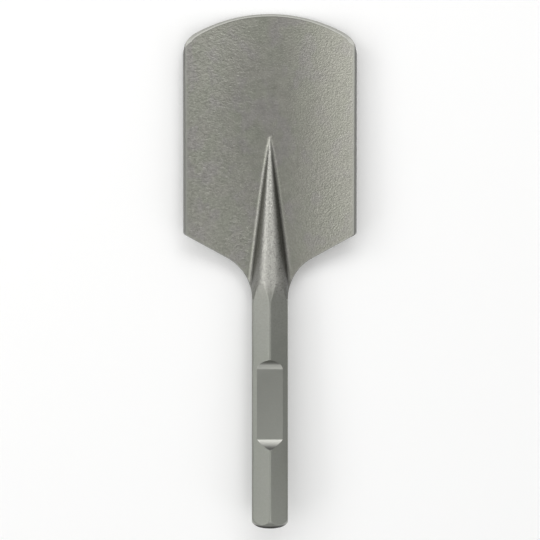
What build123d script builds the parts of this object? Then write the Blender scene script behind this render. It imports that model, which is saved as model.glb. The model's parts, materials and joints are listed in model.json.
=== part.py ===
"""Spade chisel for a breaker: one steel forging with a hexagon shank and a troughed blade.

The forging is drawn with its shank axis along +Y and its front, the hollow side of the
blade, towards +Z. It is then laid on its back as it comes to rest: on the rear corner of
the shank at the neck, and on the back of the blade at the cutting edge.
"""

import os
from math import asin, atan2, cos, degrees, radians, sin, sqrt, tan

from build123d import *

# Overall length, from the struck end to the middle of the cutting edge
overall_length = 400.0

# Shank: hexagon bar with one corner to the front and two flats to the sides
shank_flats = 28.0
shank_corner_radius = 2.0

# Struck end: a flat face with a turned rounded shoulder
end_face_radius = 8.0
end_shoulder_length = 9.0
end_shoulder_radius = 9.9

# Retaining notch across the front corner of the shank
notch_floor_distance = 10.4
notch_floor_start = 69.3
notch_floor_length = 54.0
notch_top_radius = 8.0
notch_run_out_length = 7.7
notch_run_out_radius = 28.0

# Rib: the bar drawn down to a blunt point that runs out in the blade
rib_half_angle = 6.85
rib_start = 190.2
rib_nose_radius = 0.6
rib_blend_radius = 4.6
back_blend_radius = 2.0

# Blade: a troughed plate that leans slightly to the front
blade_width = 135.0
blade_thickness = 5.0
trough_radius = 180.0
blade_drop = 3.2
blade_lean = 1.6
plate_lead = 13.9
lead_in_angle = 60.0

# Outline of the blade
neck_corner = 199.2
neck_radius = 37.0
shoulder_angle = 28.6
shoulder_corner_radius = 2.2
edge_arc_radius = 110.0
edge_corner_radius = 21.0
edge_bevel_width = 2.4
edge_bevel_depth = 1.6
arris_radius = 0.5

# Free space left around the forging by the shapes that trim it
margin = 20.0
outline_margin = 0.2

# Sizes that follow from those above
flat_distance = shank_flats / 2
corner_distance = flat_distance / cos(radians(30))
corner_loss = shank_corner_radius * (1 / cos(radians(30)) - 1)
rounded_corner_distance = corner_distance - corner_loss
half_width = blade_width / 2
outline_side = half_width + outline_margin
rib_slope = tan(radians(rib_half_angle))
rib_tip = rib_start + flat_distance / rib_slope
rib_corner = rib_tip - rounded_corner_distance / rib_slope
lean_slope = tan(radians(blade_lean))
plate_start = rib_start - plate_lead
start_height = -blade_drop - plate_lead * lean_slope
shoulder_end = neck_corner + (half_width - flat_distance) * tan(radians(shoulder_angle))
edge_side = overall_length - edge_arc_radius + sqrt(edge_arc_radius**2 - outline_side**2)
notch_end = notch_floor_start + notch_floor_length

# Bar: the hexagon inside a turned envelope with the end's shoulder and the rib's cone
nose_centre = rib_tip - rib_nose_radius / sin(radians(rib_half_angle))
nose_joint = (
    rib_nose_radius * cos(radians(rib_half_angle)),
    nose_centre + rib_nose_radius * sin(radians(rib_half_angle)),
)
with BuildPart() as bar:
    with BuildSketch(Plane.XZ):
        RegularPolygon(flat_distance, 6, major_radius=False, rotation=30)
        fillet(vertices(), shank_corner_radius)
    extrude(amount=-rib_tip)
    with BuildSketch(Plane.XY):
        with BuildLine():
            face = Line((0, 0), (end_face_radius, 0))
            shoulder = RadiusArc(
                face @ 1, (corner_distance, end_shoulder_length), -end_shoulder_radius
            )
            cone = Polyline(
                shoulder @ 1,
                (corner_distance, rib_tip - corner_distance / rib_slope),
                nose_joint,
            )
            nose = TangentArc(cone @ 1, (0, nose_centre + rib_nose_radius), tangent=cone % 1)
            Line(nose @ 1, face @ 0)
        make_face()
    revolve(axis=Axis.Y, mode=Mode.INTERSECT)

# Plate: a strip of even thickness bent to the trough, with square sides and a sloped start
# that lies inside the bar
strip_start = Plane(
    origin=(0, plate_start, start_height),
    x_dir=(1, 0, 0),
    z_dir=(0, -cos(radians(blade_lean)), -sin(radians(blade_lean))),
)
lead_in = Plane(
    origin=strip_start.origin,
    x_dir=(1, 0, 0),
    z_dir=(0, cos(radians(lead_in_angle)), sin(radians(lead_in_angle))),
)
back_radius = trough_radius + blade_thickness
side_angle = degrees(asin(half_width / back_radius))
with BuildPart() as plate:
    with BuildSketch(strip_start):
        with BuildLine():
            bend_centre = (0, trough_radius)
            front = CenterArc(bend_centre, trough_radius, 270 - side_angle, 2 * side_angle)
            back = CenterArc(bend_centre, back_radius, 270 - side_angle, 2 * side_angle)
            Line(front @ 0, back @ 0)
            Line(front @ 1, back @ 1)
        make_face()
    extrude(amount=-(overall_length - plate_start + margin))
    split(bisect_by=lead_in, keep=Keep.TOP)

# Points on the front and the back of the blade, to choose faces and edges by
blade_middle = (shoulder_end + edge_side) / 2
beside_rib = flat_distance + rib_blend_radius
front_point = (0, edge_side, start_height + (edge_side - plate_start) * lean_slope)
back_point = (0, edge_side, front_point[2] - blade_thickness)
plate_middle_height = start_height - blade_thickness / 2

with BuildPart() as forging:
    # Bar and plate, with their front joint blended wide and their back joint narrow
    add(bar.part)
    add(plate.part)
    joint = edges(Select.NEW)
    fillet(joint.filter_by(lambda line: line.center().Z > start_height), rib_blend_radius)
    back_joint = edges().filter_by(
        lambda line: line.center().Z < plate_middle_height
        and plate_start < line.bounding_box().min.Y
        and rib_corner < line.center().Y < blade_middle
        and line.bounding_box().size.X > flat_distance
    )
    fillet(back_joint, back_blend_radius)

    # Outline of the forging seen from the front
    with BuildSketch(Plane.XY):
        with BuildLine():
            flank = Polyline(
                (flat_distance, -margin),
                (flat_distance, neck_corner),
                (outline_side, shoulder_end),
                (outline_side, edge_side),
            )
            other_flank = mirror(flank, about=Plane.YZ)
            ThreePointArc(flank @ 1, (0, overall_length), other_flank @ 1)
            Line((-flat_distance, -margin), (flat_distance, -margin))
        make_face()
        fillet(vertices().group_by(Axis.Y)[-1], edge_corner_radius)
        fillet(vertices().group_by(Axis.Y)[2], shoulder_corner_radius)
        fillet(vertices().group_by(Axis.Y)[1], neck_radius)
    extrude(amount=blade_width, both=True, mode=Mode.INTERSECT)

    # Retaining notch seen from the side
    with BuildSketch(Plane.YZ):
        with BuildLine():
            run_out = RadiusArc(
                (notch_floor_start - notch_run_out_length, rounded_corner_distance),
                (notch_floor_start, notch_floor_distance),
                -notch_run_out_radius,
            )
            floor = Line(run_out @ 1, (notch_end, notch_floor_distance))
            top_centre = (notch_end, notch_floor_distance + notch_top_radius)
            top = CenterArc(top_centre, notch_top_radius, 270, 90)
            Polyline(
                top @ 1,
                (notch_end + notch_top_radius, corner_distance + margin),
                (notch_floor_start - notch_run_out_length, corner_distance + margin),
                run_out @ 0,
            )
        make_face()
    extrude(amount=shank_flats, both=True, mode=Mode.SUBTRACT)

    # Cutting edge: bevelled from the front
    front_face = faces().sort_by_distance(front_point)[0]
    chamfer(
        front_face.edges().filter_by(lambda line: line.center().Y > edge_side),
        edge_bevel_width,
        edge_bevel_depth,
        reference=front_face,
    )

    # Arrises of the blade, broken by the forging's trimming
    front_face = faces().sort_by_distance(front_point)[0]
    fillet(
        front_face.edges().filter_by(
            lambda line: abs(line.center().X) > beside_rib and line.center().Y < edge_side
        ),
        arris_radius,
    )
    back_face = faces().sort_by_distance(back_point)[0]
    fillet(
        back_face.edges().filter_by(
            lambda line: abs(line.center().X) > beside_rib or line.center().Y > edge_side
        ),
        arris_radius,
    )

# Rest: the forging tips forward about the end of the shank's rear corner until the edge lands
edge_height = start_height + (overall_length - plate_start) * lean_slope - blade_thickness
rest_angle = degrees(atan2(edge_height + rounded_corner_distance, overall_length - rib_corner))
laid_box = (Rot(-rest_angle, 0, 0) * forging.part).bounding_box()
with BuildPart() as spade_chisel:
    with Locations((0, -(laid_box.min.Y + laid_box.max.Y) / 2, -laid_box.min.Z)):
        add(forging.part, rotation=(-rest_angle, 0, 0))

os.makedirs("parts", exist_ok=True)
spade_chisel.part.label = "spade_chisel"
export_step(spade_chisel.part, "parts/spade_chisel.step")
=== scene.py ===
import json
from math import asin, atan2, cos, hypot, pi, radians, sin, sqrt, tan

import bpy
from mathutils import Matrix, Vector


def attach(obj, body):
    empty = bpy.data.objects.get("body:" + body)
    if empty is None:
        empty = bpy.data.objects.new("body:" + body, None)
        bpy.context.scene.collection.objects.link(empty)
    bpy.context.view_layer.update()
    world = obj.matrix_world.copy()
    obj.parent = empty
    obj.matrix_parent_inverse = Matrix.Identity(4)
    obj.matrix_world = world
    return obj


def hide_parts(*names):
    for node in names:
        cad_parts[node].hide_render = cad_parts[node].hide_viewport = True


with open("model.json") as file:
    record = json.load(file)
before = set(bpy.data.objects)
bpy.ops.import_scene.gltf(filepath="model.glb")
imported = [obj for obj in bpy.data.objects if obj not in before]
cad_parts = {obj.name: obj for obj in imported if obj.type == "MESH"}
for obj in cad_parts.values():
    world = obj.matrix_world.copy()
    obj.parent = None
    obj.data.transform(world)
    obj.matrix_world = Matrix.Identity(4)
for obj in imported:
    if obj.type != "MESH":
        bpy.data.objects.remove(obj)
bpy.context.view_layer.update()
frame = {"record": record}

# Forging: where it lies.
# The mount at the struck end gives the middle of that end and the shank's axis. The forging
# is worked out along that axis, across it, and out of the hollow side of the blade.
MILLIMETRE = 0.001
shank_mount = next(m for m in frame["record"]["mounts"] if m["name"] == "hex_shank")
struck_end = Vector(shank_mount["pos_m"])
across = Vector((1, 0, 0))
along = -Vector(shank_mount["axis"]).normalized()
outward = across.cross(along)
laying = Matrix((across, along, outward)).transposed()


def laid(x, station, height):
    """A place on the level tool, in millimetres, as it lies on the floor, in metres."""
    return struck_end + laying @ Vector((x, station, height)) * MILLIMETRE


# Forging: sizes.
# The whole tool is one steel forging. Its sizes are in millimetres, with stations measured
# along the shank's axis from the struck end, widths across it and heights towards the front.
overall_length = 400.0
flat_distance = 14.0
shank_corner_radius = 2.0
end_face_radius = 8.0
end_shoulder_length = 9.0
end_shoulder_radius = 9.9
notch_floor_height = 10.4
notch_floor_start = 69.3
notch_floor_end = 123.3
notch_top_radius = 8.0
notch_run_out_length = 7.7
notch_run_out_radius = 28.0
rib_start = 190.2
rib_slope = tan(radians(6.85))
rib_blend_radius = 4.6
back_blend = 3.0
half_width = 67.44
blade_thickness = 5.0
trough_radius = 180.0
blade_drop = 3.2
lean_slope = tan(radians(1.6))
neck_corner = 199.2
neck_radius = 37.0
shoulder_angle = radians(28.6)
shoulder_corner_radius = 2.2
edge_arc_radius = 110.0
edge_corner_radius = 21.0
bevel_width = 2.1
bevel_width_at_corners = 3.4
bevel_taper_start = 60.0
bevel_taper = 0.6
bevel_depth = 1.5
arris_radius = 0.5

corner_distance = flat_distance / cos(radians(30))
rib_tip = rib_start + flat_distance / rib_slope
back_radius = trough_radius + blade_thickness
front_side = half_width * trough_radius / back_radius
neck_start = neck_corner - neck_radius * tan((pi / 2 - shoulder_angle) / 2)
neck_end = neck_start + neck_radius * cos(shoulder_angle)
shoulder_corner = neck_corner + (half_width - flat_distance) * tan(shoulder_angle)
shoulder_turn = shoulder_corner_radius * tan((pi / 2 - shoulder_angle) / 2)
edge_centre = overall_length - edge_arc_radius
corner_across = half_width - edge_corner_radius
corner_along = edge_centre + sqrt((edge_arc_radius - edge_corner_radius) ** 2 - corner_across**2)


def envelope_radius(station):
    """Radius of the turned shape around the bar: shoulder, plain bar or cone."""
    if station < end_shoulder_length:
        rise = corner_distance - end_face_radius
        chord = hypot(rise, end_shoulder_length)
        reach = sqrt(end_shoulder_radius**2 - chord**2 / 4)
        middle_radius = (end_face_radius + corner_distance) / 2 - reach * end_shoulder_length / chord
        middle_station = end_shoulder_length / 2 + reach * rise / chord
        return middle_radius + sqrt(end_shoulder_radius**2 - (middle_station - station) ** 2)
    return max(0.0, min(corner_distance, (rib_tip - station) * rib_slope))


def hexagon_reach(angle):
    """Distance from the axis to the hexagon's skin, with its rounded corners."""
    sixth = pi / 3
    off_corner = abs(angle % sixth - sixth / 2)
    middle = (flat_distance - shank_corner_radius) / cos(sixth / 2)
    rounding = asin(shank_corner_radius * sin(sixth / 2) / hypot(
        middle + shank_corner_radius * cos(sixth / 2), shank_corner_radius * sin(sixth / 2)
    ))
    if off_corner < rounding:
        return middle * cos(off_corner) + sqrt(shank_corner_radius**2 - (middle * sin(off_corner)) ** 2)
    return flat_distance / cos(sixth / 2 - off_corner)


def bar_point(angle, station):
    """A point of the bar's section: the hexagon trimmed by the turned shape."""
    reach = min(hexagon_reach(angle), envelope_radius(station))
    return reach * cos(angle), reach * sin(angle)


def blade_height(station):
    """Height of the bottom of the trough."""
    return -blade_drop + (station - rib_start) * lean_slope


def trough_front(x, station):
    return blade_height(station) + trough_radius - sqrt(trough_radius**2 - x**2)


def trough_back(x, station):
    return blade_height(station) + trough_radius - sqrt(back_radius**2 - x**2)


def outline_half_width(station):
    """Half the width of the forging, seen from the front, up to the blade's sides."""
    if station < neck_start:
        return flat_distance
    if station < neck_end:
        return flat_distance + neck_radius - sqrt(neck_radius**2 - (station - neck_start) ** 2)
    turn_end = shoulder_corner + shoulder_turn
    turn_start = shoulder_corner - shoulder_turn * sin(shoulder_angle)
    if station < turn_start:
        return flat_distance + (station - neck_corner) / tan(shoulder_angle)
    if station < turn_end:
        return half_width - shoulder_corner_radius + sqrt(
            shoulder_corner_radius**2 - (turn_end - station) ** 2
        )
    return half_width


def edge_station(x, setback):
    """Station of the cutting edge at x, or of a line at an even setback from it."""
    x = abs(x)
    if x > corner_across * (edge_arc_radius - setback) / (edge_arc_radius - edge_corner_radius):
        return corner_along + sqrt((edge_corner_radius - setback) ** 2 - (x - corner_across) ** 2)
    return edge_centre + sqrt((edge_arc_radius - setback) ** 2 - x**2)


def notch_height(station):
    """Height of the notch's floor, run-out and top, and None where there is no notch."""
    end = notch_floor_end + notch_top_radius
    front_corner = hexagon_reach(pi / 2)
    run_out_start = notch_floor_start - notch_run_out_length
    if station < run_out_start or station > end:
        return None
    if station > notch_floor_end:
        return notch_floor_height + notch_top_radius - sqrt(
            max(0.0, notch_top_radius**2 - (station - notch_floor_end) ** 2)
        )
    if station > notch_floor_start:
        return notch_floor_height
    rise = front_corner - notch_floor_height
    chord = hypot(rise, notch_run_out_length)
    reach = sqrt(notch_run_out_radius**2 - chord**2 / 4)
    middle_station = notch_floor_start - notch_run_out_length / 2 + reach * rise / chord
    middle_height = notch_floor_height + rise / 2 + reach * notch_run_out_length / chord
    return middle_height - sqrt(notch_run_out_radius**2 - (station - middle_station) ** 2)


# Forging: section curves.
# Each section is half a front curve and half a back curve, both from the middle plane to the
# outline. The bar, its blend and the trough are arcs that meet tangentially.
curve_steps = 90
neck_blend_height = blade_height(neck_start) + trough_radius - sqrt(
    (trough_radius - rib_blend_radius) ** 2 - (flat_distance + rib_blend_radius) ** 2
)
rim_front_angle = atan2(neck_blend_height, flat_distance)
rim_back_angle = -pi / 6


def spaced(start, end, steps):
    return [start + (end - start) * step / steps for step in range(steps + 1)]


def arc(middle_x, middle_z, radius, start, end, steps):
    return [
        (middle_x + radius * cos(angle), middle_z + radius * sin(angle))
        for angle in spaced(start, end, steps)
    ]


def cut_at(curve, limit):
    """The curve from its start to where it first passes x = limit."""
    kept = [curve[0]]
    for (x0, z0), (x1, z1) in zip(curve, curve[1:]):
        if x1 > limit:
            share = (limit - x0) / (x1 - x0)
            kept.append((limit, z0 + (z1 - z0) * share))
            break
        kept.append((x1, z1))
    return kept


def notched(curve, notch):
    """The curve cut down to the notch, with a point where the notch leaves the hexagon."""
    if notch is None:
        return curve
    kept = []
    for (x0, z0), (x1, z1) in zip(curve, curve[1:]):
        kept.append((x0, min(z0, notch)))
        if z0 > notch > z1:
            kept.append((x0 + (x1 - x0) * (z0 - notch) / (z0 - z1), notch))
    return [*kept, curve[-1]]


def front_curve(station):
    """Front half of a section, from the middle plane out to the outline."""
    if station < neck_start:
        return notched(
            [bar_point(angle, station) for angle in spaced(pi / 2, rim_front_angle, 2 * curve_steps)],
            notch_height(station),
        )
    limit = min(outline_half_width(station), front_side)
    middle = blade_height(station) + trough_radius
    inner = trough_radius - rib_blend_radius
    radius = envelope_radius(station)
    if radius <= 0:
        start = 0.0
        curve = []
    else:
        blend_z = (middle**2 - inner**2 + (radius + rib_blend_radius) ** 2) / (2 * middle)
        blend_x = sqrt(max(0.0, (radius + rib_blend_radius) ** 2 - blend_z**2))
        meeting = atan2(blend_z, blend_x)
        turn_start = pi + meeting
        if blend_x > flat_distance + rib_blend_radius:
            blend_x = flat_distance + rib_blend_radius
            blend_z = middle - sqrt(inner**2 - blend_x**2)
            meeting = atan2(blend_z, flat_distance)
            turn_start = pi
        turn_end = 2 * pi + atan2(blend_z - middle, blend_x)
        curve = [bar_point(angle, station) for angle in spaced(pi / 2, meeting, curve_steps)]
        curve += arc(blend_x, blend_z, rib_blend_radius, turn_start, turn_end, curve_steps // 2)[1:]
        start = blend_x * trough_radius / inner
    curve += [
        (x, trough_front(x, station)) for x in spaced(start, half_width, curve_steps)[bool(curve):]
    ]
    return cut_at(curve, limit)


def back_curve(station):
    """Back half of a section, from the middle plane out to the outline."""
    if station < neck_start:
        return [bar_point(angle, station) for angle in spaced(-pi / 2, rim_back_angle, 2 * curve_steps)]
    limit = min(outline_half_width(station), half_width)
    radius = envelope_radius(station)
    curve = []
    for angle in spaced(-pi / 2, rim_back_angle, curve_steps):
        x, z = bar_point(angle, station) if radius > 0 else (0.0, 0.0)
        plate = trough_back(x, station)
        if z > plate + back_blend:
            break
        share = max(0.0, min(1.0, 0.5 + (plate - z) / (2 * back_blend)))
        curve.append((x, plate + (z - plate) * share - back_blend * share * (1 - share)))
    start = curve[-1][0] if curve else 0.0
    curve += [
        (x, trough_back(x, station)) for x in spaced(start, half_width, 2 * curve_steps)[bool(curve):]
    ]
    return cut_at(curve, limit)


def lengths_along(curve):
    lengths = [0.0]
    for (x0, z0), (x1, z1) in zip(curve, curve[1:]):
        lengths.append(lengths[-1] + hypot(x1 - x0, z1 - z0))
    return lengths


def points_at(curve, lengths, targets):
    """Points of a curve at the given lengths along it, in rising order."""
    points = []
    piece = 0
    for target in targets:
        while piece < len(lengths) - 2 and lengths[piece + 1] < target:
            piece += 1
        step = lengths[piece + 1] - lengths[piece]
        part = (target - lengths[piece]) / step if step > 0 else 0.0
        (x0, z0), (x1, z1) = curve[piece], curve[piece + 1]
        points.append((x0 + (x1 - x0) * part, z0 + (z1 - z0) * part))
    return points


def smooth_share(value, start, end):
    """Rises from 0 at start to 1 at end, evenly at both ends."""
    share = max(0.0, min(1.0, (value - start) / (end - start)))
    return share * share * (3 - 2 * share)


# Forging: skin.
# A front and a back sheet of rows, joined round the outline by a rim of rounded arrises. Past
# bow_start the rows bow out to the cutting edge, and one column follows the notch's edge.
half_columns = 54
middle_crowding = 0.35
rim_steps = 8
neck_lead = 4.0
bow_start = 308.0
bow_steps = 90
bevel_rows = 3
crease_width = 0.45
crease_part = 0.06
notch_column = 26
narrowest_notch = 1.4
notch_approach = 14.0

shares = [
    share * (1 - middle_crowding) + middle_crowding * share**2 for share in spaced(0.0, 1.0, half_columns)
]
notch_start = notch_floor_start - notch_run_out_length
notch_end = notch_floor_end + notch_top_radius
notch_top_turn = [notch_floor_end + notch_top_radius * sin(turn) for turn in spaced(0, pi / 2, 16)]
stations = [
    *spaced(0, end_shoulder_length, 18),
    *spaced(end_shoulder_length, notch_start, 32)[1:],
    *spaced(notch_start, notch_floor_start, 12)[1:],
    *spaced(notch_floor_start, notch_floor_end, 34)[1:],
    *notch_top_turn[1:],
    *spaced(notch_end, neck_start - neck_lead, 28)[1:],
    *spaced(neck_start - neck_lead, bow_start, 136)[1:],
]


def front_points(curve, station):
    """Points for the columns of the front sheet, one of them on the edge of the notch."""
    lengths = lengths_along(curve)
    whole = lengths[-1] - arris_radius
    usual = shares[notch_column] * whole
    notch = notch_height(station)
    if notch is None:
        away = min(abs(station - notch_start), abs(station - notch_end)) / notch_approach
        split = narrowest_notch + (usual - narrowest_notch) * smooth_share(away, 0, 1)
    else:
        split = max(
            [narrowest_notch]
            + [length for (x, z), length in zip(curve, lengths) if z >= notch - 1e-9]
        )
    inner = [share / shares[notch_column] * split for share in shares[: notch_column + 1]]
    outer = [
        split + (share - shares[notch_column]) / (1 - shares[notch_column]) * (whole - split)
        for share in shares[notch_column + 1 :]
    ]
    return points_at(curve, lengths, inner + outer)


def back_points(curve):
    lengths = lengths_along(curve)
    return points_at(curve, lengths, [share * (lengths[-1] - arris_radius) for share in shares])


def rim_points(front_inner, front_edge, back_edge, back_inner):
    """Points between the two sheets: a rounded arris, the side and a rounded arris."""
    front_inner, front_edge = Vector(front_inner), Vector(front_edge)
    back_edge, back_inner = Vector(back_edge), Vector(back_inner)
    side = (back_edge - front_edge).normalized() * arris_radius
    front_outer, back_outer = front_edge + side, back_edge - side

    def rounded(first, corner, last, share):
        pulls = ((1 - share) ** 2, sqrt(2) * share * (1 - share), share**2)
        return (first * pulls[0] + corner * pulls[1] + last * pulls[2]) / sum(pulls)

    turn = rim_steps // 2 - 1
    points = [rounded(front_inner, front_edge, front_outer, step / turn) for step in range(1, turn + 1)]
    points.append(front_outer.lerp(back_outer, 0.5))
    points += [rounded(back_outer, back_edge, back_inner, step / turn) for step in range(turn)]
    return points


front_rows, back_rows, rims = [], [], []
for station in stations:
    front_line, back_line = front_curve(station), back_curve(station)
    front_half, back_half = front_points(front_line, station), back_points(back_line)
    front_rows.append([(x, station, z) for x, z in front_half])
    back_rows.append([(x, station, z) for x, z in back_half])
    if station < neck_start:
        start, end = atan2(front_half[-1][1], front_half[-1][0]), atan2(back_half[-1][1], back_half[-1][0])
        rims.append([
            Vector((x, station, z))
            for x, z in (bar_point(angle, station) for angle in spaced(start, end, rim_steps)[1:-1])
        ])
    else:
        (front_x, front_z), (back_x, back_z) = front_line[-1], back_line[-1]
        rims.append(rim_points(
            front_rows[-1][-1], (front_x, station, front_z), (back_x, station, back_z), back_rows[-1][-1]
        ))

front_columns = [x for x, _, _ in front_rows[-1]]
back_columns = [x for x, _, _ in back_rows[-1]]


def bevel_width_at(x):
    """Width of the bevel at x: it widens from the middle of the edge to the corners."""
    wide = (abs(x) / bevel_taper_start) ** 2
    full = bevel_width + (bevel_width_at_corners - bevel_width) * wide
    return full * (1 - bevel_taper * smooth_share(abs(x), bevel_taper_start, front_side))


def front_place(x, share, bevel_part):
    """A point of the bowed front: share runs to the crease, bevel_part down the bevel."""
    bevel_line = edge_station(x, bevel_width_at(x))
    station = bow_start + (bevel_line - bow_start) * share
    station += (edge_station(x, 0) - bevel_line) * bevel_part
    return x, station, trough_front(x, station) - bevel_depth * bevel_width_at(x) / bevel_width * bevel_part


def back_place(x, share):
    station = bow_start + (edge_station(x, 0) - bow_start) * share
    return x, station, trough_back(x, station)


crease_share = 1 - crease_width / (edge_station(0, bevel_width) - bow_start)
bow_places = [(share, 0.0) for share in spaced(0.0, crease_share, bow_steps)[1:]]
bow_places += [(1.0, 0.0)]
inner_part = 1 - arris_radius / hypot(bevel_width, bevel_depth)
bow_places += [(1.0, inner_part * part) for part in (crease_part, *spaced(0.0, 1.0, bevel_rows)[1:])]
for place, (share, bevel_part) in enumerate(bow_places, 1):
    edge_share = place / len(bow_places)
    back_share = edge_share * (1 - arris_radius / (overall_length - bow_start))
    front_rows.append([front_place(x, share, bevel_part) for x in front_columns])
    back_rows.append([back_place(x, back_share) for x in back_columns])
    rims.append(rim_points(
        front_rows[-1][-1],
        front_place(front_side, share, bevel_part / inner_part),
        back_place(half_width, edge_share),
        back_rows[-1][-1],
    ))
edge_rim = [
    rim_points(front_rows[-1][k], front_place(front_columns[k], 1.0, 1.0),
               back_place(back_columns[k], 1.0), back_rows[-1][k])
    for k in range(half_columns)
]

# Forging: finishes.
# Each point of the skin is marked from 0 to 1 with each finish of the steel and with painted light
# and shade. "scaled" is the rough skin left by the scale. Painted shade darkens the rib's steep
# flanks, the notch's point and the struck end; painted light lightens the turned shoulder and the
# notch's run-out and top.
finishes = (
    "rib", "ground", "blunt", "milled", "painted_light", "arris", "steep_painted_shade", "sheared", "struck", "scaled"
)
shank_scale = 0.2
shank_grain = 0.25
# painted light on the turned shoulder and the notch's top
shoulder_painted_light = 0.4
notch_top_painted_light = 0.6
# painted shade at the struck end: a share on its face, and its rim fading out between these stations
struck_face_black = 0.35
end_shade_start, end_shade_end = 1.6, 3.8
# painted shade at the notch's point, fading out between these stations
tip_shade_start, tip_shade_end = notch_start + 0.5, notch_start + 4
grain_end = rib_start + 4
rib_foot = 1.6
blunt_rows = 2
blunt_tip_start, blunt_tip_end = 57.0, 63.0
# slopes between which painted shade sets in on the rib's steep flanks
steep, steepest = 0.5, 0.86

vertices = []
marks = {name: [] for name in finishes}


def placed(point, **finish):
    """Adds a vertex and its finishes, and returns its number."""
    vertices.append(laid(*point))
    for name, values in marks.items():
        values.append(finish.get(name, 0.0))
    return len(vertices) - 1


def mirrored(point):
    return -point[0], point[1], point[2]


# painted shade at the struck end: 1 at the end, fading out a few millimetres along
def end_shade_share(station):
    return 1 - smooth_share(station, end_shade_start, end_shade_end)


def arris_share(column):
    return smooth_share(column, half_columns - 1.5, half_columns)


def shank_finish(x, station, height):
    """Finishes of the hexagon, the turned shoulder at its end and the milled notch."""
    notch = notch_height(station)
    if notch is not None and height >= notch - 1e-6:
        run_out = float(station < notch_floor_start - 0.1)
        top = float(station > notch_floor_end + 0.1)
        return {
            "milled": 1.0,
            # painted light on the notch's run-out and top
            "painted_light": run_out + notch_top_painted_light * top,
            # painted shade at the notch's point
            "steep_painted_shade": 1 - smooth_share(station, tip_shade_start, tip_shade_end),
        }
    turned = station < end_shoulder_length and hypot(x, height) > envelope_radius(station) - 0.02
    return {
        # painted light on the turned shoulder
        "painted_light": shoulder_painted_light * turned,
        # painted shade at the struck end
        "struck": end_shade_share(station),
        "rib": shank_grain * smooth_share(station, notch_end, neck_start),
        "scaled": shank_scale,
    }


def front_finish(row, column):
    x, station, height = front_rows[row][column]
    finish = {"arris": arris_share(column)}
    if station < neck_start:
        return finish | shank_finish(x, station, height)
    bow_row = row - len(stations)
    if bow_row >= bow_steps:
        finish["ground"] = 0.5 if bow_row == bow_steps else 1.0
        outer_half = float(bow_row >= len(bow_places) - blunt_rows)
        finish["blunt"] = max(outer_half, smooth_share(x, blunt_tip_start, blunt_tip_end))
        return finish
    # painted shade on the rib's steep flanks, where the front curve is steep
    if 0 < column < half_columns:
        (x0, _, z0), (x1, _, z1) = front_rows[row][column - 1], front_rows[row][column + 1]
        slope = abs(z1 - z0) / hypot(x1 - x0, z1 - z0)
        finish["steep_painted_shade"] = smooth_share(slope, steep, steepest)
    on_bar = smooth_share(height - trough_front(x, station), 0.0, rib_foot)
    grain = shank_grain + (1 - shank_grain) * smooth_share(station, neck_start, grain_end)
    finish["rib"] = on_bar * grain
    finish["scaled"] = (1 - 0.8 * on_bar + 0.3 * finish["rib"]) * (1 - finish["arris"])
    return finish


def back_finish(row, column):
    if back_rows[row][column][1] < neck_start:
        return {"scaled": shank_scale}
    at_edge = float(row >= len(stations) - 1)
    return {"arris": arris_share(column) * at_edge, "scaled": float(column < half_columns - 1)}


def sheet(rows, finish_at):
    """Numbers of a sheet's vertices, row by row, from its left edge to its right."""
    numbers = []
    for row, points in enumerate(rows):
        finishes = [finish_at(row, column) for column in range(len(points))]
        left = [placed(mirrored(points[k]), **finishes[k]) for k in range(half_columns, 0, -1)]
        numbers.append(left + [placed(point, **finish) for point, finish in zip(points, finishes)])
    return numbers


front_sheet = sheet(front_rows, front_finish)
back_sheet = sheet(back_rows, back_finish)
last = 2 * half_columns
rim_stations = [points[-1][1] for points in front_rows]


def rim_strip(ends, side):
    """Numbers down the rim, row by row, from the front sheet to the back sheet."""
    return [
        [
            front,
            *(
                # the rim carries the struck end's painted shade too
                placed(side(point), sheared=float(station >= neck_start), struck=end_shade_share(station))
                for point in points
            ),
            back,
        ]
        for (front, back), points, station in zip(ends, rims, rim_stations)
    ]


right_ends = [(front[last], back[last]) for front, back in zip(front_sheet, back_sheet)]
left_ends = [(front[0], back[0]) for front, back in zip(front_sheet, back_sheet)]
right_rim = rim_strip(right_ends, tuple)
left_rim = rim_strip(left_ends, mirrored)


def cross_strips(front_row, back_row, left_end, right_end, between, **finish):
    """Strips between the two sheets' end rows, closed at both ends by the rims."""
    strips = [left_end]
    for column in range(1, last):
        points = between(abs(column - half_columns))
        if column < half_columns:
            points = [mirrored(point) for point in points]
        numbers = [placed(point, **finish) for point in points]
        strips.append([front_row[column], *numbers, back_row[column]])
    strips.append(right_end)
    return strips


def across_end_face(k):
    front, back = Vector(front_rows[0][k]), Vector(back_rows[0][k])
    return [front.lerp(back, step / rim_steps) for step in range(1, rim_steps)]


edge_strips = cross_strips(
    front_sheet[-1], back_sheet[-1], left_rim[-1], right_rim[-1], edge_rim.__getitem__, ground=1.0, blunt=1.0
)
# the end face carries part of the struck end's painted shade
end_strips = cross_strips(
    front_sheet[0], back_sheet[0], left_rim[0], right_rim[0], across_end_face, struck=struck_face_black
)

faces = []


def skin(grid, flip):
    """Covers a grid of vertex numbers with four-sided faces."""
    for lower, upper in zip(grid, grid[1:]):
        for a, b, c, d in zip(lower, lower[1:], upper[1:], upper):
            faces.append((d, c, b, a) if flip else (a, b, c, d))


skin(front_sheet, False)
skin(back_sheet, True)
skin(right_rim, False)
skin(left_rim, True)
skin(edge_strips, True)
skin(end_strips, False)

forging_mesh = bpy.data.meshes.new("forging_blank")
forging_mesh.from_pydata(vertices, [], faces)
for name, values in marks.items():
    forging_mesh.attributes.new(name, "FLOAT", "POINT").data.foreach_set("value", values)
forging_mesh.polygons.foreach_set("use_smooth", [True] * len(forging_mesh.polygons))
forging_blank = bpy.data.objects.new("forging_blank", forging_mesh)
bpy.context.collection.objects.link(forging_blank)
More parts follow.
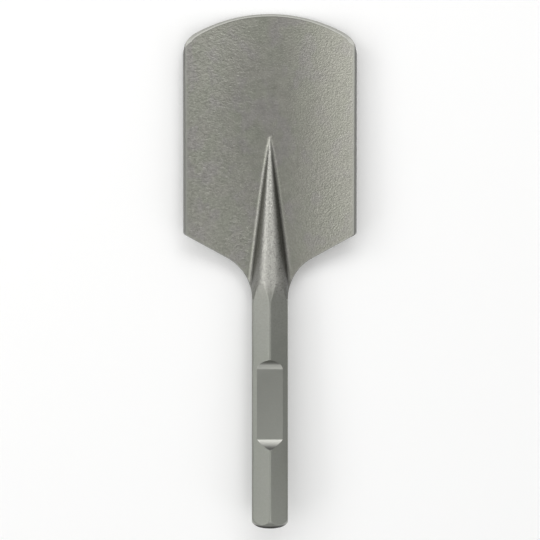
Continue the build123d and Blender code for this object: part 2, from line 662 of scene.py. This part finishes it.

# Forging: steel.
# Hot-forged and blasted clean: dull grey with faint tints, leathery on the left, speckled on the
# right. The rib is pitted, the bevel ground and the notch milled. Painted shade darkens the struck
# end, the rib's steep flanks and the notch's point; painted light lightens the turned shoulder and
# the notch's run-out and top.
green_grey = (0.278, 0.284, 0.243, 1)
warm_grey = (0.290, 0.286, 0.256, 1)
lilac_grey = (0.293, 0.282, 0.270, 1)
straw_grey = (0.293, 0.291, 0.252, 1)
shank_grey = (0.287, 0.297, 0.268, 1)
rib_grey = (0.384, 0.381, 0.352, 1)
ground_grey = (0.670, 0.672, 0.622, 1)
blunt_grey = (0.500, 0.500, 0.465, 1)
milled_grey = (0.262, 0.268, 0.243, 1)
# painted light: lighter grey for the turned shoulder and the notch's run-out and top
painted_light_grey = (0.360, 0.362, 0.335, 1)
arris_grey = (0.380, 0.378, 0.350, 1)
sheared_grey = (0.170, 0.170, 0.158, 1)
# painted shade: near black for the struck end's face and rim
end_shade_black = (0.018, 0.018, 0.017, 1)

steel = bpy.data.materials.new("forged steel")
steel.use_nodes = True
steel_tree = steel.node_tree
steel_shader = steel_tree.nodes["Principled BSDF"]


def node(tree, kind, inputs=None, **settings):
    """Adds a node, sets its options, and sets or links its inputs."""
    made = tree.nodes.new(kind)
    for name, value in settings.items():
        setattr(made, name, value)
    for name, value in (inputs or {}).items():
        if isinstance(value, bpy.types.NodeSocket):
            tree.links.new(value, made.inputs[name])
        else:
            made.inputs[name].default_value = value
    return made


def reckoned(tree, operation, *values):
    """The result of a node's sum on numbers or other nodes' outputs."""
    return node(tree, "ShaderNodeMath", dict(enumerate(values)), operation=operation).outputs[0]


def times(value, factor):
    return reckoned(steel_tree, "MULTIPLY", value, factor)


def times_plus(value, factor, base):
    return reckoned(steel_tree, "MULTIPLY_ADD", value, factor, base)


def ranged(value, from_low, from_high, to_low, to_high):
    """The value taken from one range to another, and held at its ends."""
    return node(steel_tree, "ShaderNodeMapRange", {
        "Value": value, "From Min": from_low, "From Max": from_high, "To Min": to_low, "To Max": to_high,
    }).outputs["Result"]


def steel_noise(sizes, detail=2.0, roughness=0.5, distortion=0.0, offset=0.0):
    """Noise about 0, with its grains' sizes in millimetres across, along and through the tool."""
    stretched = node(steel_tree, "ShaderNodeMapping", {
        "Vector": steel_place,
        "Location": (offset, offset, offset),
        "Scale": tuple(1 / (size * MILLIMETRE) for size in sizes),
    })
    grains = node(steel_tree, "ShaderNodeTexNoise", {
        "Vector": stretched.outputs[0],
        "Scale": 1.0,
        "Detail": detail,
        "Roughness": roughness,
        "Distortion": distortion,
    })
    return reckoned(steel_tree, "SUBTRACT", grains.outputs["Fac"], 0.5)


def tinted(share, first, second):
    """The first colour turned into the second by the share."""
    mixed = node(steel_tree, "ShaderNodeMix", {0: share}, data_type="RGBA", blend_type="MIX")
    for socket, value in ((mixed.inputs[6], first), (mixed.inputs[7], second)):
        if isinstance(value, bpy.types.NodeSocket):
            steel_tree.links.new(value, socket)
        else:
            socket.default_value = value
    return mixed.outputs[2]


steel_place = node(steel_tree, "ShaderNodeTexCoord").outputs["Object"]
place_axes = node(steel_tree, "ShaderNodeSeparateXYZ", {"Vector": steel_place}).outputs
mark = {
    name: node(steel_tree, "ShaderNodeAttribute", attribute_name=name).outputs["Fac"] for name in finishes
}
left_side = ranged(place_axes["X"], -55 * MILLIMETRE, 10 * MILLIMETRE, 1.0, 0.0)
right_side = ranged(place_axes["X"], 0.0, 45 * MILLIMETRE, 0.0, 1.0)
right_of_rib = ranged(place_axes["X"], -3 * MILLIMETRE, 5 * MILLIMETRE, 0.45, 1.0)
# painted shade on steep faces: how much it darkens, more to the right of the rib
steep_shade_depth = ranged(place_axes["X"], -3 * MILLIMETRE, 5 * MILLIMETRE, -0.42, -0.6)
near_neck = ranged(place_axes["Y"], 20 * MILLIMETRE, 110 * MILLIMETRE, 1.5, 1.0)

leather = steel_noise((2.6, 1.8, 2.6), distortion=0.5, offset=3)
speckle = steel_noise((1.3, 1.3, 1.3), detail=1, offset=7)
blasting = steel_noise((0.7, 0.7, 0.7), roughness=0.6, offset=9)
dullness = steel_noise((6, 5, 6), detail=3, offset=11)
rings = steel_noise((30, 1.1, 30), roughness=0.6, offset=21)
pitting = steel_noise((1.5, 1.5, 1.5), detail=3, roughness=0.6, offset=33)
tints = steel_noise((14, 18, 14), detail=3, offset=40)
patches = steel_noise((18, 24, 18), detail=3, distortion=0.6)
mottle = steel_noise((1.6, 1.3, 1.6), detail=3, roughness=0.65)

# colour
colour = tinted(ranged(patches, -0.14, 0.14, 0, 1), green_grey, warm_grey)
for share, grey in (
    (ranged(tints, 0.02, 0.14, 0, 0.7), lilac_grey),
    (ranged(times_plus(tints, -2.0, right_side), 0, 1, 0, 0.6), straw_grey),
    (ranged(mark["scaled"], shank_scale, 0.5, 0.8, 0), shank_grey),
    (mark["rib"], rib_grey),
    (ranged(mark["ground"], 0.5, 0.8, 0, 1), ground_grey),
    (mark["blunt"], blunt_grey),
    (mark["milled"], milled_grey),
    # painted light on the turned shoulder and the notch's run-out and top
    (mark["painted_light"], painted_light_grey),
    (times(mark["arris"], 0.5), arris_grey),
    (mark["sheared"], sheared_grey),
    # painted shade at the struck end
    (mark["struck"], end_shade_black),
):
    colour = tinted(share, colour, grey)

# light and dark: the bevel's crease, the mottle, the rib's pits, the grain and the painted shade on steep
# faces
crease = ranged(reckoned(steel_tree, "ABSOLUTE", times_plus(mark["ground"], 1.0, -0.5)), 0, 0.5, 0.75, 1)
mottle_strength = times_plus(mark["rib"], 0.8, times_plus(mark["scaled"], 0.35, 0.1))
pits = times(times(ranged(pitting, -0.20, -0.04, 0.55, 0.0), mark["rib"]), right_of_rib)
grain = times_plus(times(leather, left_side), 0.8, times(times(speckle, right_side), 0.5))
brightness = times(crease, times_plus(mottle, mottle_strength, 1.0))
brightness = times(brightness, times_plus(pits, -1.0, 1.0))
brightness = times(brightness, times_plus(grain, mark["scaled"], 1.0))
# painted shade darkening the rib's steep flanks and the notch's point
brightness = times(brightness, times_plus(mark["steep_painted_shade"], steep_shade_depth, 1.0))
lit_colour = node(steel_tree, "ShaderNodeVectorMath", {0: colour, "Scale": brightness}, operation="SCALE")
steel_tree.links.new(lit_colour.outputs[0], steel_shader.inputs["Base Color"])
# less metallic where the struck end's painted shade lies
steel_tree.links.new(times_plus(mark["struck"], -0.9, 0.95), steel_shader.inputs["Metallic"])

# gloss
roughness = times_plus(dullness, 0.16, 0.335)
for name, change in (("rib", 0.05), ("milled", -0.02), ("ground", 0.2), ("struck", 0.5)):
    roughness = times_plus(mark[name], change, roughness)
steel_tree.links.new(roughness, steel_shader.inputs["Roughness"])

# fine relief, in millimetres
relief = times_plus(
    leather, times_plus(left_side, 0.20, 0.04), times(speckle, times_plus(right_side, 0.12, 0.08))
)
relief = times(times(relief, mark["scaled"]), near_neck)
relief = times_plus(times(pitting, mark["rib"]), 0.22, relief)
relief = times_plus(rings, times_plus(mark["scaled"], -0.008, 0.008), relief)
relief = times_plus(blasting, 0.003, relief)
bump = node(steel_tree, "ShaderNodeBump", {"Height": relief, "Distance": MILLIMETRE, "Strength": 1.0})
steel_tree.links.new(bump.outputs[0], steel_shader.inputs["Normal"])

# Forging: scale relief.
# The scale of the hot forging left shallow waves in the skin, which the blasting kept. They
# only go inwards, are deepest on the blade, and stop at the milled and ground faces.
wave_depth = 0.02 * MILLIMETRE
wave_size = 13.0 * MILLIMETRE
wrinkle_depth = 0.04 * MILLIMETRE
wrinkle_size = 5.0 * MILLIMETRE
scale_seed = 4.0

relief_tree = bpy.data.node_groups.new("scale relief", "GeometryNodeTree")
for name, kind in (
    ("Forging", "NodeSocketGeometry"),
    ("Wave depth", "NodeSocketFloat"),
    ("Wave size", "NodeSocketFloat"),
    ("Wrinkle depth", "NodeSocketFloat"),
    ("Wrinkle size", "NodeSocketFloat"),
    ("Seed", "NodeSocketFloat"),
    ("Steel", "NodeSocketMaterial"),
):
    relief_tree.interface.new_socket(name, in_out="INPUT", socket_type=kind)
relief_tree.interface.new_socket("Forging", in_out="OUTPUT", socket_type="NodeSocketGeometry")
given = relief_tree.nodes.new("NodeGroupInput").outputs
skin_place = node(relief_tree, "GeometryNodeInputPosition").outputs[0]


def sunken(size, depth, stretch):
    """How far the skin goes in, for waves of the given size, stretched across the tool."""
    stretched = node(relief_tree, "ShaderNodeVectorMath", {0: skin_place, 1: stretch}, operation="MULTIPLY")
    grain = node(relief_tree, "ShaderNodeTexNoise", {
        "Vector": stretched.outputs[0],
        "W": given["Seed"],
        "Scale": reckoned(relief_tree, "DIVIDE", 1.0, size),
        "Detail": 1.0,
    }, noise_dimensions="4D")
    inward_depth = reckoned(relief_tree, "MULTIPLY", depth, -1.0)
    return reckoned(relief_tree, "MULTIPLY", grain.outputs[0], inward_depth)


waves = sunken(given["Wave size"], given["Wave depth"], (1, 1, 1))
wrinkles = sunken(given["Wrinkle size"], given["Wrinkle depth"], (0.5, 1, 0.5))
scaled = node(relief_tree, "GeometryNodeInputNamedAttribute", {"Name": "scaled"}, data_type="FLOAT")
depth_here = reckoned(
    relief_tree, "MULTIPLY", scaled.outputs[0], reckoned(relief_tree, "ADD", waves, wrinkles)
)
inwards = node(relief_tree, "ShaderNodeVectorMath", {
    0: node(relief_tree, "GeometryNodeInputNormal").outputs[0], "Scale": depth_here,
}, operation="SCALE")
moved = node(relief_tree, "GeometryNodeSetPosition", {
    "Geometry": given["Forging"], "Offset": inwards.outputs[0],
})
real = node(relief_tree, "GeometryNodeRealizeInstances", {"Geometry": moved.outputs[0]})
dressed = node(relief_tree, "GeometryNodeSetMaterial", {
    "Geometry": real.outputs[0], "Material": given["Steel"],
})
node(relief_tree, "NodeGroupOutput", {"Forging": dressed.outputs[0]})

relief_step = forging_blank.modifiers.new("scale relief", "NODES")
relief_step.node_group = relief_tree
for item in relief_tree.interface.items_tree:
    if item.in_out == "INPUT" and item.socket_type != "NodeSocketGeometry":
        relief_step[item.identifier] = {
            "Wave depth": wave_depth,
            "Wave size": wave_size,
            "Wrinkle depth": wrinkle_depth,
            "Wrinkle size": wrinkle_size,
            "Seed": scale_seed,
            "Steel": steel,
        }[item.name]
evaluated = forging_blank.evaluated_get(bpy.context.evaluated_depsgraph_get())
forging = bpy.data.objects.new("spade_chisel_forging", bpy.data.meshes.new_from_object(evaluated))
forging.data.name = "spade_chisel_forging"
bpy.context.collection.objects.link(forging)
forging_blank.modifiers.remove(relief_step)
bpy.data.objects.remove(forging_blank)
forging.data.set_sharp_from_angle(angle=radians(24))

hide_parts("spade_chisel")
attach(forging, "root")

# Floor and light.
# A plain pale floor under plain soft studio lights. The strongest stands beyond the cutting
# edge, and weaker ones fill in from the sides and from above.
floor_half_size = 3.0

floor_mesh = bpy.data.meshes.new("floor")
floor_mesh.from_pydata(
    [(x * floor_half_size, y * floor_half_size, 0) for x, y in ((-1, -1), (1, -1), (1, 1), (-1, 1))],
    [],
    [(0, 1, 2, 3)],
)
floor = bpy.data.objects.new("floor", floor_mesh)
bpy.context.collection.objects.link(floor)
floor_material = bpy.data.materials.new("pale floor")
floor_material.use_nodes = True
floor_shader = floor_material.node_tree.nodes["Principled BSDF"]
floor_shader.inputs["Base Color"].default_value = (0.97, 0.97, 0.965, 1)
floor_shader.inputs["Roughness"].default_value = 0.9
floor_mesh.materials.append(floor_material)

light_distance = 2.0


def soft_light(name, azimuth, elevation, size, watts):
    """A square soft light that faces the middle of the tool."""
    data = bpy.data.lights.new(name, "AREA")
    data.shape = "SQUARE"
    data.size = size
    data.energy = watts
    light = bpy.data.objects.new(name, data)
    level = cos(radians(elevation))
    direction = Vector((
        level * cos(radians(azimuth)), level * sin(radians(azimuth)), sin(radians(elevation))
    ))
    light.location = direction * light_distance
    light.rotation_euler = direction.to_track_quat("Z", "Y").to_euler()
    bpy.context.collection.objects.link(light)


for name, azimuth, elevation, size, watts in (
    ("key", 72, 50, 0.8, 6.3),
    ("key left", 108, 50, 0.8, 4.0),
    ("low key", 90, 35, 0.7, 1.6),
    ("upper left", 144, 50, 0.8, 2.8),
    ("low upper left", 150, 35, 0.7, 3.6),
    ("left", 180, 35, 0.7, 1.8),
    ("low left", 210, 35, 0.7, 3.0),
    ("upper right", 36, 50, 0.8, 2.1),
    ("low right", 330, 35, 0.7, 2.0),
    ("end", 270, 42, 1.0, 2.8),
    ("left fill", 186, 52, 0.8, 1.6),
    ("right fill", 352, 52, 0.8, 1.1),
    ("high left", 180, 68, 0.8, 0.8),
    ("high right", 300, 68, 0.8, 4.2),
    ("overhead", 0, 90, 0.8, 0.25),
):
    soft_light(f"{name} light", azimuth, elevation, size, watts)

room = bpy.data.worlds.new("room")
bpy.context.scene.world = room
room.use_nodes = True
room_light = room.node_tree.nodes["Background"]
room_light.inputs["Color"].default_value = (1, 1, 1, 1)
room_light.inputs["Strength"].default_value = 0.36
bpy.context.scene.view_settings.view_transform = "Standard"

# Camera.
# It looks straight down on the hollow side of the blade, with the cutting edge at the top,
# from about a metre away.
camera_distance = 1035.0
camera_station = 200.3
camera_x = 0.05
seen_height = 421.6

camera_data = bpy.data.cameras.new("camera")
camera_data.sensor_fit = "HORIZONTAL"
camera_data.angle = 2 * atan2(seen_height / 2, camera_distance)
camera = bpy.data.objects.new("camera", camera_data)
camera.matrix_world = Matrix.Translation(laid(camera_x, camera_station, camera_distance)) @ laying.to_4x4()
bpy.context.collection.objects.link(camera)
bpy.context.scene.camera = camera
